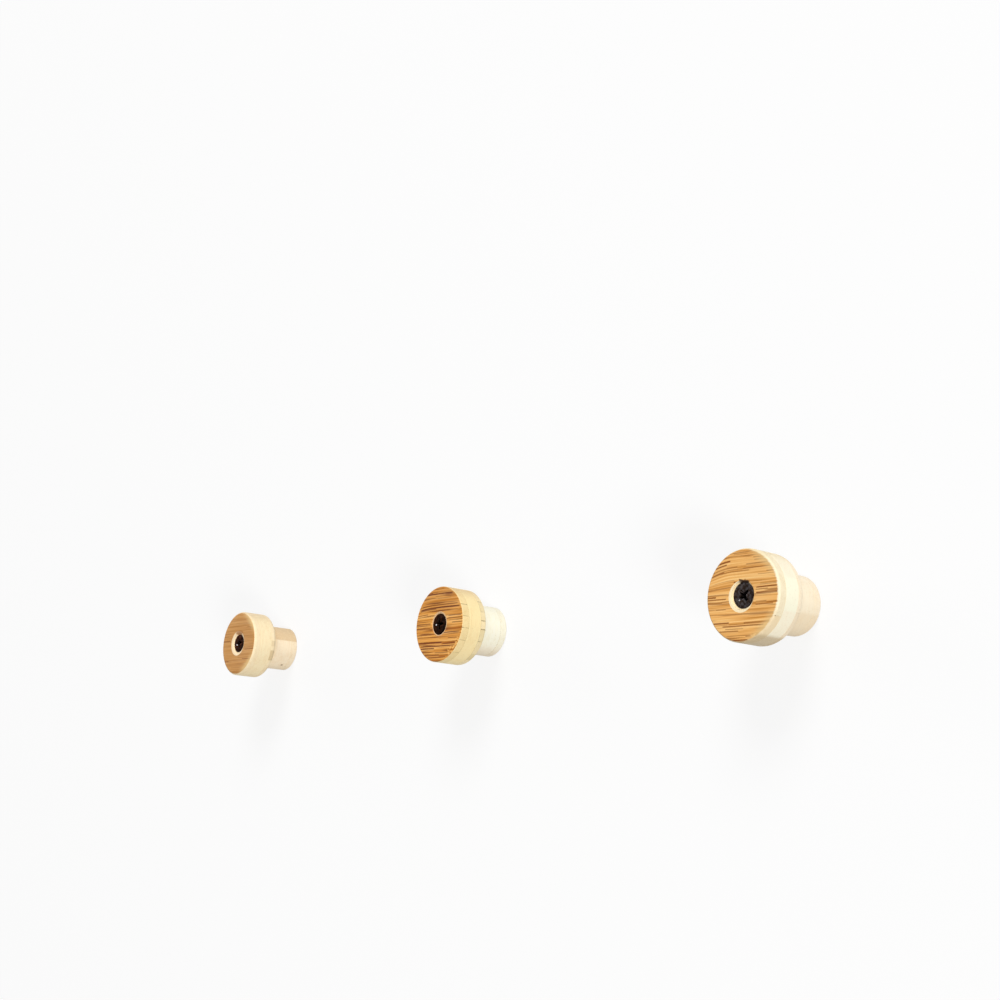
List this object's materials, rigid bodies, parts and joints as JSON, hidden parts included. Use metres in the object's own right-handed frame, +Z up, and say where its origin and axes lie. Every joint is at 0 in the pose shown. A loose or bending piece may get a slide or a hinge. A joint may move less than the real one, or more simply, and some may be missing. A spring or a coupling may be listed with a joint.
{
  "type": "ski wall rack",
  "caption": "Level row of round laminated wooden wall pegs, each a wide head on a narrow stem held by one screw, that catch ski tips between them.",
  "frame": {"origin": "on the wall's face, at the middle peg's axis", "axes": "+X along the row to the right as seen from the room, +Y into the wall, +Z up"},
  "size_m": [0.342, 0.0707, 0.03],
  "materials": {
    "bamboo_face": "oiled caramel bamboo with level grain, satin",
    "bamboo_edge": "pale bamboo edge, sanded, satin",
    "bamboo_stem": "very pale bamboo, sanded, matt",
    "black_screw": "black phosphated steel",
    "plug_nylon": "grey moulded nylon"
  },
  "bodies": {
    "wall_fixings": {"left_screw": "black_screw", "left_wall_plug": "plug_nylon", "middle_screw": "black_screw", "middle_wall_plug": "plug_nylon", "right_screw": "black_screw", "right_wall_plug": "plug_nylon"},
    "left_peg": {"left_head_front_ply": "bamboo_face", "left_head_core_ply": "bamboo_edge", "left_head_back_ply": "bamboo_edge", "left_stem_front_ply": "bamboo_stem", "left_stem_core_ply": "bamboo_stem", "left_stem_back_ply": "bamboo_stem"},
    "middle_peg": {"middle_head_front_ply": "bamboo_face", "middle_head_core_ply": "bamboo_edge", "middle_head_back_ply": "bamboo_edge", "middle_stem_front_ply": "bamboo_stem", "middle_stem_core_ply": "bamboo_stem", "middle_stem_back_ply": "bamboo_stem"},
    "right_peg": {"right_head_front_ply": "bamboo_face", "right_head_core_ply": "bamboo_edge", "right_head_back_ply": "bamboo_edge", "right_stem_front_ply": "bamboo_stem", "right_stem_core_ply": "bamboo_stem", "right_stem_back_ply": "bamboo_stem"}
  },
  "joints": [
    {"name": "left_peg_turn", "type": "hinge", "parent": "wall_fixings", "child": "left_peg", "pos_m": [-0.156, 0, 0], "axis": [0, -1, 0], "continuous": true},
    {"name": "middle_peg_turn", "type": "hinge", "parent": "wall_fixings", "child": "middle_peg", "pos_m": [0, 0, 0], "axis": [0, -1, 0], "continuous": true},
    {"name": "right_peg_turn", "type": "hinge", "parent": "wall_fixings", "child": "right_peg", "pos_m": [0.156, 0, 0], "axis": [0, -1, 0], "continuous": true}
  ]
}
